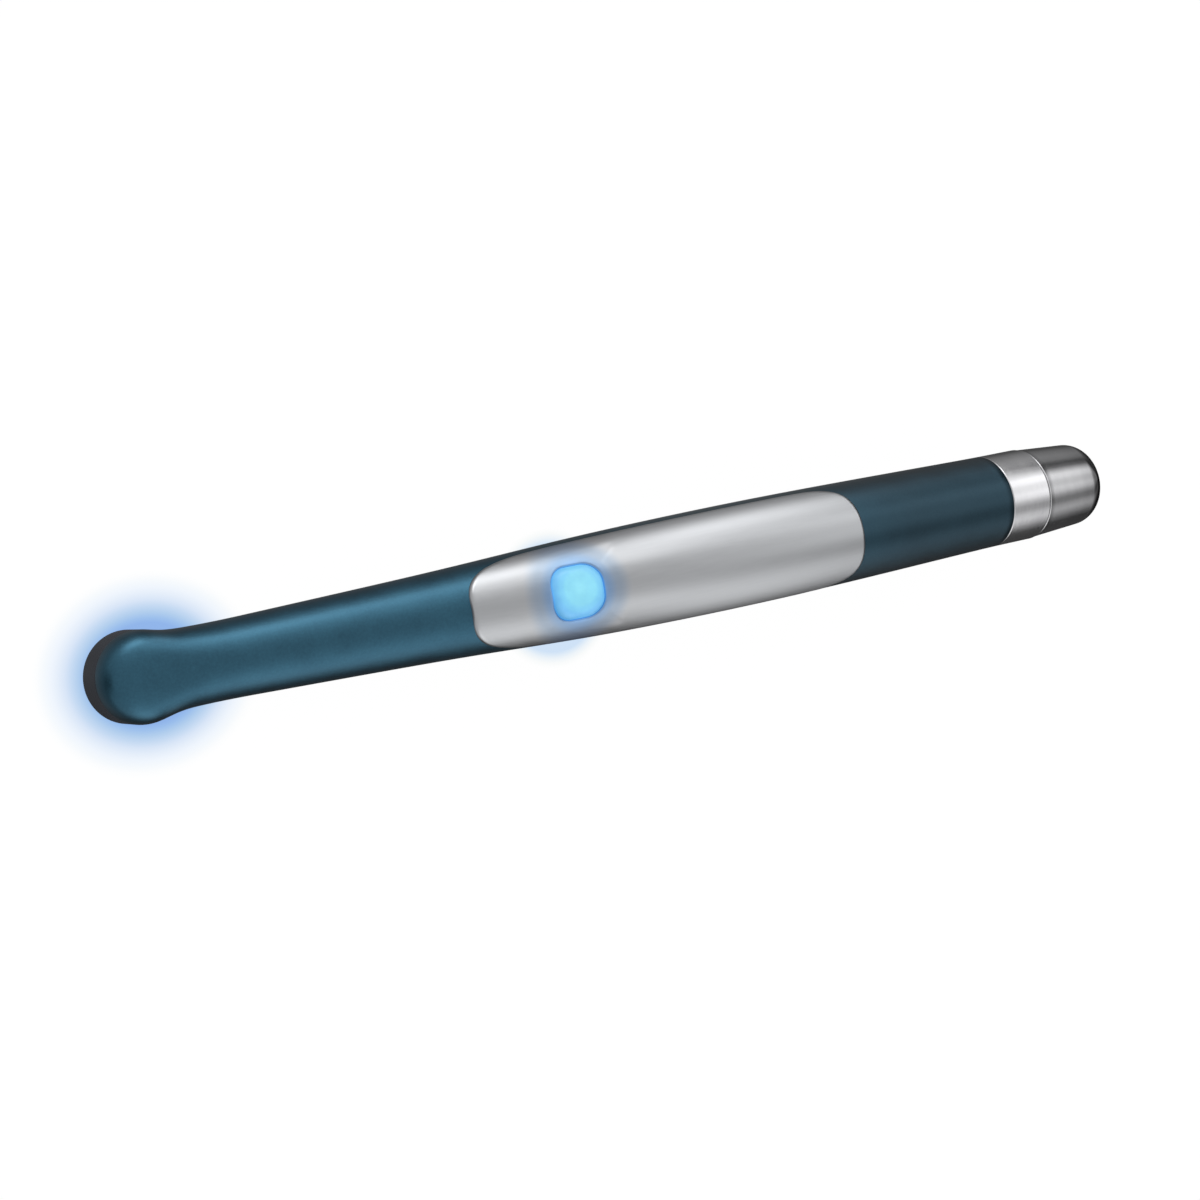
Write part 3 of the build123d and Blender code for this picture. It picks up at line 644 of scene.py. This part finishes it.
# ---------------------------------------------------------------- button membrane
# A moulded silicone boot with a raised rim, clamped round the switch. It gives as the button goes
# down and lifts it again.
# Translucent silicone, moulded: milky, soft and nearly matt.
silicone = finish(
    "translucent_silicone", "#DCE7EC", "#C9D7DE", 0.0, 0.55, 0.25, 0.006, 0.1, IOR=1.42,
    Transmission_Weight=0.35,
)


def rounded_square(half_x, half_y, corner, angle):
    """Distance from the centre of a rounded rectangle to its outline, in the direction of an angle."""
    c, s = abs(math.cos(angle)), abs(math.sin(angle))
    core_x, core_y = half_x - corner, half_y - corner
    if s * half_x <= c * core_y:
        return half_x / c
    if c * half_y <= s * core_x:
        return half_y / s
    along = c * core_x + s * core_y
    return along + math.sqrt(max(0.0, along * along - core_x**2 - core_y**2 + corner * corner))


around = 96


def stacked(name, loops, material, sharp_angle=40.0):
    """Closed solid from loops of points round the button, each (half_x, half_y, corner, height).
    A loop of no size is a single point. The height is a number or a function of (x, y)."""
    points = []
    for half_x, half_y, corner, height in loops:
        for k in range(around):
            angle = 2 * math.pi * (k + 0.5) / around
            reach = rounded_square(half_x, half_y, corner, angle) if half_x > 0 else 0.0
            x, y = button_x + reach * math.cos(angle), reach * math.sin(angle)
            points.append((x, y, height(x, y) if callable(height) else height))
    faces = []
    for r in range(len(loops) - 1):
        a, b = r * around, (r + 1) * around
        faces += [(a + k, a + (k + 1) % around, b + (k + 1) % around, b + k) for k in range(around)]
    return mesh_piece(name, points, faces, material, sharp_angle)


low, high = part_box("button_membrane")
boot_bottom, boot_top = low.z / MM, high.z / MM
boot_x, boot_y = (high.x - low.x) / 2 / MM, (high.y - low.y) / 2 / MM
sheet = 0.6
boot_loops = [
    (0, 0, 0, boot_top - 0.12),
    (2.2, 2.1, 1.4, boot_top - 0.12),
    (2.6, 2.5, 1.6, boot_top),
    (boot_x - 0.15, boot_y - 0.15, 3.45, boot_top),
    (boot_x, boot_y, 3.6, boot_top - 0.15),
    (boot_x, boot_y, 3.6, boot_bottom),
    (boot_x - 0.6, boot_y - 0.6, 3.0, boot_bottom),
    (boot_x - 0.6, boot_y - 0.6, 3.0, boot_top - sheet),
    (0, 0, 0, boot_top - sheet),
]
boot = stacked("button_boot", boot_loops, silicone)
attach(boot, "wand")
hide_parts("button_membrane")
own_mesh(boot)

# ---------------------------------------------------------------- power button
# Moulded from milky polycarbonate and lit from behind. Its pale blue glow is painted on as light of its own,
# a little deeper towards its rounded rim. A hidden flange keeps it in the panel.
flange_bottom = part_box("power_button")[0].z / MM
flange_top = flange_bottom + 0.8
button_half_x, button_half_y, button_corner = 5.3, 5.1, 3.6
panel_proud = 0.7
button_proud = 1.6
button_edge = 1.1


def cap_height(x, y, proud):
    """Height of the surface at a distance outside the wand's own, above the point (x, y)."""
    radius = half_width(x) + proud
    return middle_height(x) + math.sqrt(max(0.0, radius * radius - y * y))


def button_surface(inset):
    """Height over the button's face, rounded off towards the rim."""
    fall = button_edge * (1 - math.sqrt(max(0.0, 1 - (1 - min(inset / button_edge, 1)) ** 2)))

    def height(x, y):
        away = ((x - button_x) / button_half_x) ** 2 + (y / button_half_y) ** 2
        return cap_height(x, y, button_proud - 0.05) - fall - 0.22 * min(away, 1.6)

    return height


button_loops = [(0, 0, 0, button_surface(3.0))]
for inset in (4.6, 4.0, 3.4, 2.8, 2.2, 1.7, 1.3, 1.0, 0.75, 0.52, 0.34, 0.2, 0.1, 0.03, 0.0):
    corner = max(button_corner - inset, (button_half_x - inset) * 0.68)
    loop_x, loop_y = button_half_x - inset, button_half_y - inset
    button_loops.append((loop_x, loop_y, min(corner, loop_y), button_surface(inset)))
button_loops += [
    (button_half_x, button_half_y, button_corner, flange_top),
    (button_half_x + 0.9, button_half_y + 0.9, button_corner + 0.9, flange_top),
    (button_half_x + 0.9, button_half_y + 0.9, button_corner + 0.9, flange_bottom),
    (0, 0, 0, flange_bottom),
]
# Milky polycarbonate, moulded, with a soft gloss. The light from behind that spreads in it is painted on its
# face as a glow of its own, with a slight cloud, deeper blue towards the rim.
milky = bpy.data.materials.new("milky_polycarbonate")
milky.use_nodes = True
tree = milky.node_tree
shader = tree.nodes["Principled BSDF"]
shader.inputs["IOR"].default_value = 1.58
shader.inputs["Roughness"].default_value = 0.28
shader.inputs["Emission Strength"].default_value = 0.62
glow_stops = [(0.0, "#A2F4FF"), (0.4, "#98ECFF"), (0.56, "#84D8FF"), (0.7, "#74C4FF"), (0.9, "#4FA0DC")]
from_middle = spot(tree, (button_x, 0.7, 21.0), 7.4, (1.0, 1.0, 0.3))
face_glow = add(
    tree, "ValToRGB", {"interpolation": "EASE", "stops": glow_stops}, Fac=from_middle
).outputs["Color"]
cloud = grain(tree, 1.2)
cloudy = add(tree, "ValToRGB", {"stops": [(0.3, 0.94), (0.7, 1.0)]}, Fac=cloud).outputs["Color"]
uneven_glow = add(
    tree, "Mix", {"data_type": "RGBA", "blend_type": "MULTIPLY", "Factor": 1.0}, _6=face_glow,
    _7=cloudy,
)
tree.links.new(uneven_glow.outputs[2], shader.inputs["Emission Color"])
plastic = add(tree, "ValToRGB", {"stops": [(0.3, "#4C86A6"), (0.7, "#5A93B0")]}, Fac=cloud)
tree.links.new(plastic.outputs["Color"], shader.inputs["Base Color"])
skin = add(tree, "Bump", {"Strength": 1.0, "Distance": 0.003 * MM}, Height=grain(tree, 0.3))
tree.links.new(skin.outputs[0], shader.inputs["Normal"])
button = stacked("power_key", button_loops, milky, 50)
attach(button, "button")
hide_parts("power_button")

# ---------------------------------------------------------------- control panel
# A curved aluminium plate, satin polished and clear anodised, let into the top of the grip over a
# rubber gasket. Its edge is rolled over like a pillow, and its button opening has a small bevel.
dress("panel_gasket", rubber)
panel_front, panel_rear = -46.15, 45.7
side_angle = 68.0
front_corner = (20.2, 63.0, 2.6)
rear_corner = (15.0, 60.5, 3.2)
panel_edge = 0.9
panel_depth = 0.45
opening_half_x, opening_half_y, opening_corner = 5.5, 5.3, 3.8
opening_bevel = 0.4


def panel_end(angle, end, corner, sign):
    """Where the panel's front or rear edge lies at an angle from its middle line, in degrees."""
    length, spread, power = corner
    part = max(0.0, abs(angle) - (side_angle - spread)) / spread
    return end + sign * length * (1 - max(0.0, 1 - part**power) ** (1 / power))


def on_wand(x, angle, proud):
    """Point over the wand's upper side at an angle from the top, in degrees, and a distance outside it."""
    radius = half_width(x) + proud
    turn = math.radians(angle)
    return x, radius * math.sin(turn), middle_height(x) + radius * math.cos(turn)


def spaced(total, fine, step):
    """Distances from 0 to total, with the fine ones at both ends and even steps between them."""
    inner = total - 2 * fine[-1]
    count = math.ceil(inner / step)
    middle = [fine[-1] + inner * i / count for i in range(1, count)]
    return fine + middle + [total - f for f in reversed(fine)]


edge_steps = [0.0, 0.02, 0.06, 0.12, 0.2, 0.3, 0.42, 0.56, 0.72, 0.9, 1.15, 1.5]
mean_radius = 10.3
arc_length = 2 * math.radians(side_angle) * mean_radius
row_angles = [math.degrees(d / mean_radius) - side_angle for d in spaced(arc_length, edge_steps, 0.8)]
panel_length = 92
column_places = spaced(1.0, [e / panel_length for e in edge_steps], 0.9 / panel_length)
flat = []
for angle in row_angles:
    start = panel_end(angle, panel_front, front_corner, 1)
    stop = panel_end(angle, panel_rear, rear_corner, -1)
    for u in column_places:
        flat.append((start + (stop - start) * u, angle))
columns = len(column_places)
panel_faces = grid_faces(0, len(row_angles), columns)

# the square of the grid round the button is opened, and filled with loops that turn into its outline
middle_row = min(range(len(row_angles)), key=lambda r: abs(row_angles[r]))
reach_x, reach_angle = 8.6, 46.0
first_row = min(range(len(row_angles)), key=lambda r: abs(row_angles[r] + reach_angle))
last_row = len(row_angles) - 1 - first_row
middle_xs = [flat[middle_row * columns + i][0] for i in range(columns)]
first_column = min(range(columns), key=lambda i: abs(middle_xs[i] - button_x + reach_x))
last_column = min(range(columns), key=lambda i: abs(middle_xs[i] - button_x - reach_x))
panel_faces = [
    f
    for f in panel_faces
    if not (first_row <= f[0] // columns < last_row and first_column <= f[0] % columns < last_column)
]
border = [first_row * columns + i for i in range(first_column, last_column)]
border += [r * columns + last_column for r in range(first_row, last_row)]
border += [last_row * columns + i for i in range(last_column, first_column, -1)]
border += [r * columns + first_column for r in range(last_row, first_row, -1)]
out_of_reach = 99.0
loop_insets = [0.0, 0.03, 0.08, 0.15, 0.25, 0.4, 0.65, 1.0, 1.5, 2.1]


def opening_point(x, angle, proud):
    """The opening's edge, in the direction of a point of the panel, as (x, angle)."""
    y = (half_width(x) + panel_proud) * math.sin(math.radians(angle))
    turn = math.atan2(y, x - button_x)
    reach = rounded_square(opening_half_x, opening_half_y, opening_corner, turn)
    edge_x, edge_y = button_x + reach * math.cos(turn), reach * math.sin(turn)
    return edge_x, math.degrees(math.asin(edge_y / (half_width(edge_x) + proud)))


def panel_points(proud):
    """All the panel's points, each (x, angle, distance from the opening), for a surface that far out."""
    made = [(x, angle, out_of_reach) for x, angle in flat]
    for inset in loop_insets:
        for i in border:
            x, angle = flat[i]
            edge_x, edge_angle = opening_point(x, angle, proud)
            gap = math.hypot(x - edge_x, math.radians(angle - edge_angle) * mean_radius)
            t = min(inset / gap, 1.0) if gap > 0 else 0.0
            made.append((edge_x + (x - edge_x) * t, edge_angle + (angle - edge_angle) * t, inset))
    return made


loop_first = len(flat)
loop_count = len(border)
for r in range(len(loop_insets)):
    for i in range(loop_count):
        a, b = loop_first + r * loop_count + i, loop_first + r * loop_count + (i + 1) % loop_count
        if r + 1 < len(loop_insets):
            panel_faces.append((a, b, b + loop_count, a + loop_count))
        else:
            panel_faces.append((a, b, border[(i + 1) % loop_count], border[i]))

outline = []
for sign in (1, -1):
    for r in range(0, 241):
        angle = side_angle * (1 - r / 120) * sign
        end, corner = (panel_front, front_corner) if sign > 0 else (panel_rear, rear_corner)
        x = panel_end(angle, end, corner, sign)
        outline.append((x, math.radians(angle) * mean_radius))
outline = np.array(outline)
starts, ends = outline, np.roll(outline, -1, axis=0)


def edge_distance(x, angle):
    """Distance over the surface from a point of the panel to its outline."""
    here = np.array((x, math.radians(angle) * mean_radius))
    run = ends - starts
    lengths = np.maximum((run**2).sum(1), 1e-12)
    t = np.clip(((here - starts) * run).sum(1) / lengths, 0, 1)
    return float(np.sqrt((((starts + run * t[:, None]) - here) ** 2).sum(1).min()))


top_points = []
for x, angle, from_opening in panel_points(panel_proud):
    rolled = min(edge_distance(x, angle) / panel_edge, 1.0)
    proud = panel_proud - panel_edge * (1 - math.sqrt(max(0.0, 1 - (1 - rolled) ** 2)))
    bevelled = min(from_opening / opening_bevel, 1.0)
    proud -= opening_bevel * (1 - math.sqrt(max(0.0, 1 - (1 - bevelled) ** 2)))
    top_points.append(on_wand(x, angle, proud))
under_points = [on_wand(x, angle, -panel_depth) for x, angle, _ in panel_points(-panel_depth)]


def closed_plate(top, under, faces):
    """Points and faces of a plate from its top and underside, with walls along every open edge."""
    count = len(top)
    edges = {}
    for f in faces:
        for i in range(len(f)):
            a, b = f[i], f[(i + 1) % len(f)]
            edges[(min(a, b), max(a, b))] = edges.get((min(a, b), max(a, b)), 0) + 1
    walls = [(a, b, b + count, a + count) for (a, b), uses in edges.items() if uses == 1]
    return top + under, list(faces) + [tuple(i + count for i in reversed(f)) for f in faces] + walls


# Satin anodised aluminium: lapped along its length, so it blurs the strips into soft bands. The
# button's light is painted on it, as a blue wash over its colour and a faint glow of its own.
satin = bpy.data.materials.new("satin_anodised_silver")
satin.use_nodes = True
tree = satin.node_tree
shader = tree.nodes["Principled BSDF"]
shader.inputs["Metallic"].default_value = 1.0
lapped = grain(tree, 0.3, 3.0, (0.12, 1.0, 1.0))
silver = add(tree, "ValToRGB", {"stops": [(0.3, "#CACCCF"), (0.7, "#CED0D3")]}, Fac=lapped).outputs["Color"]
lit_spot = (button_x, 0, 20.5), 14.0, (1.0, 1.0, 0.5)
wash_stops = [(0.33, "#A9D3F5"), (0.45, "#BFDAF2"), (0.62, "#DCE9F5"), (0.85, "#FFFFFF")]
wash = add(
    tree, "ValToRGB", {"interpolation": "EASE", "stops": wash_stops}, Fac=spot(tree, *lit_spot)
).outputs["Color"]
washed = add(tree, "Mix", {"data_type": "RGBA", "blend_type": "MULTIPLY", "Factor": 1.0}, _6=silver, _7=wash)
tree.links.new(washed.outputs[2], shader.inputs["Base Color"])
spill_stops = [(0.38, "#2E5E96"), (0.45, "#1B3C66"), (0.6, "#0B1C36"), (0.85, "#000000")]
spill = add(tree, "ValToRGB", {"stops": spill_stops}, Fac=spot(tree, *lit_spot)).outputs["Color"]
tree.links.new(spill, shader.inputs["Emission Color"])
shader.inputs["Emission Strength"].default_value = 1.0
gloss = add(
    tree, "MapRange", {"From Min": 0.3, "From Max": 0.7, "To Min": 0.28, "To Max": 0.32}, Value=lapped,
)
tree.links.new(gloss.outputs[0], shader.inputs["Roughness"])
skin = add(tree, "Bump", {"Strength": 1.0, "Distance": 0.0002 * MM}, Height=lapped)
tree.links.new(skin.outputs[0], shader.inputs["Normal"])
plate_points, plate_faces = closed_plate(top_points, under_points, panel_faces)
panel = mesh_piece("panel_plate", plate_points, plate_faces, satin, 60)
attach(panel, "wand")
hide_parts("control_panel")

# ---------------------------------------------------------------- battery bay
# Gold plated contacts in a nylon bush, a spring strip to the board, a natural nylon sleeve, and the
# lithium cell in its printed shrink wrap, which draws out of the tail.
# Gold flashed brass: yellow, smooth and sharp in its highlights.
gold = finish("gold_plated_brass", "#E6C060", "#D2A844", 1.0, 0.22, 0.3, 0.003, 0.15)
for node in ("front_contact", "battery_lead"):
    dress(node, gold)
dress("contact_bush", nylon)
# Natural nylon, extruded: cream coloured, with some light passing into it.
natural = finish("natural_nylon", "#D9D3C2", "#CCC5B2", 0.0, 0.5, 0.4, 0.008, 0.1, Subsurface_Weight=0.1)
dress("battery_sleeve", natural)
# Printed heat-shrink film: blue and glossy, slightly rippled over the can.
wrap = finish("heat_shrink_wrap", "#2F6FB0", "#2862A0", 0.0, 0.3, 0.8, 0.01, 0.2, Coat_Weight=0.4)
dress("battery", wrap)
# Nickel plated steel: a warm white metal, smooth.
nickel = finish("nickel_plated_steel", "#D6D4CC", "#C2C0B8", 1.0, 0.24, 0.2, 0.002, 0.15)
dress("battery_tip", nickel)

# ---------------------------------------------------------------- tail collar
# Turned stainless steel, brushed round and lightly polished, glued into the tail on a spigot with
# an O-ring. Its bore is threaded for the cap.
bay_z = 10.0
tail_radius = 10.0
pitch = 2.0
# Stainless steel, brushed round: bright, with highlights drawn out across the brushing.
steel = finish(
    "brushed_stainless_steel", "#E2E2E4", "#D6D6D9", 1.0, 0.13, 0.12, 0.0010, 0.1, (1.0, 0.15, 0.15),
)


def thread_depth(x, angle, deep):
    """Depth of a rounded 2 mm thread at a place along and round it."""
    return deep * (0.5 - 0.5 * math.cos(2 * math.pi * (x / pitch - angle / (2 * math.pi))))


def threaded(name, profile, material, thread_from, thread_to, base, deep, steps=144):
    """Lathe whose profile points on the base radius, within the thread's length, follow a helix."""
    points, faces = [], []
    count = len(profile)
    for k in range(steps):
        angle = 2 * math.pi * k / steps
        for along, radius in profile:
            if abs(radius - base) < 1e-6 and thread_from < along < thread_to:
                fade = min(1.0, (along - thread_from) / 0.6, (thread_to - along) / 0.6)
                radius += fade * thread_depth(along, angle, deep)
            points.append((along, radius * math.cos(angle), bay_z + radius * math.sin(angle)))
    for k in range(steps):
        a, b = k * count, (k + 1) % steps * count
        faces += [(a + i, a + (i + 1) % count, b + (i + 1) % count, b + i) for i in range(count)]
    return mesh_piece(name, points, faces, material, 35)


def even_run(start, stop, radius, step=0.2):
    """Points along a cylinder, close enough together for a thread."""
    count = math.ceil(abs(stop - start) / step)
    return [(start + (stop - start) * i / count, radius) for i in range(count + 1)]


collar_front, collar_rear = collar_x + 0.06, cap_x - 0.03
break_edge = 0.2
flat_after = 0.12
bore = 7.5
thread_floor = 92.1
collar_profile = (
    [
        (84.13, bore), (84.13, 8.4), (84.33, 8.6), (85.72, 8.6), (85.72, 7.89), (86.58, 7.89),
        (86.58, 8.6), (collar_front, 8.6),
    ]
    + [(collar_front, tail_radius - break_edge - flat_after), (collar_front, tail_radius - break_edge)]
    + arc((collar_front + break_edge, tail_radius - break_edge), break_edge, 180, 90, 4)[1:]
    + [
        (collar_front + break_edge + flat_after, tail_radius),
        (collar_rear - break_edge - flat_after, tail_radius),
    ]
    + arc((collar_rear - break_edge, tail_radius - break_edge), break_edge, 90, 0, 4)
    + [(collar_rear, tail_radius - break_edge - flat_after)]
    + even_run(collar_rear, thread_floor, 8.53)
    + [(thread_floor, bore)]
)
collar = threaded("tail_ferrule", collar_profile, steel, thread_floor, collar_rear - 0.1, 8.53, 0.3)
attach(collar, "wand")
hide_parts("tail_collar")
dress("collar_seal", rubber, 60)

# ---------------------------------------------------------------- screw cap
# Turned from the same steel as the collar, domed at its end. Its threaded spigot holds an O-ring,
# and a spring plate inside it presses the cell forward.
cap_front = cap_x + 0.13
cap_end = 117.5
cap_start, cap_shoulder, cap_corner, cap_dome = 9.86, 8.8, 5.2, 1.0
corner_x = cap_end - cap_dome
dome_radius = (cap_shoulder**2 + cap_dome**2) / (2 * cap_dome)
dome_x = cap_end - dome_radius
# the corner's rounding touches the tapered side and the dome
taper = (cap_start - cap_shoulder) / (corner_x - cap_front)
slant = math.sqrt(1 + taper * taper)
lead = cap_start - cap_corner * slant + taper * (cap_front - dome_x)
square = 1 + taper * taper
apart = taper * taper * lead * lead - square * (lead * lead - (dome_radius - cap_corner) ** 2)
round_x = dome_x + (taper * lead + math.sqrt(apart)) / square
round_r = lead - taper * (round_x - dome_x)
side_turn = 90 - math.degrees(math.atan(taper))
dome_turn = math.degrees(math.atan2(round_r, round_x - dome_x))
side_places = (break_edge + flat_after, 1.5, 3.0, 5.0, 7.0, 9.0)
cap_profile = (
    [(92.4, bore), (92.4, 8.05), (92.75, 8.4)]
    + even_run(92.8, 97.1, 8.42)
    + [(97.37, 8.1), (97.37, 7.74), (98.23, 7.74), (98.23, 8.42), (cap_front, 8.42)]
    + [(cap_front, cap_start - break_edge - flat_after), (cap_front, cap_start - break_edge)]
    + arc((cap_front + break_edge, cap_start - break_edge), break_edge, 180, 90, 4)[1:]
    + [(cap_front + along, cap_start - along * taper) for along in side_places]
    + arc((round_x, round_r), cap_corner, side_turn, dome_turn, 28)
    + arc((dome_x, 0), dome_radius, dome_turn, 0, 14)[1:]
    + [(110.23, 0.0), (110.23, bore)]
)
cap = threaded("screw_cap", cap_profile, steel, 92.8, 97.1, 8.42, -0.3)
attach(cap, "cap")
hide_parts("end_cap")
dress("cap_seal", rubber, 60)
dress("contact_plate", gold)
# Nickel plated spring wire, drawn: smooth and bright.
spring_steel = finish("nickel_plated_spring_wire", "#CFCDC6", "#BBB9B1", 1.0, 0.26, 0.15, 0.002, 0.15)
dress("tail_spring", spring_steel, 60)
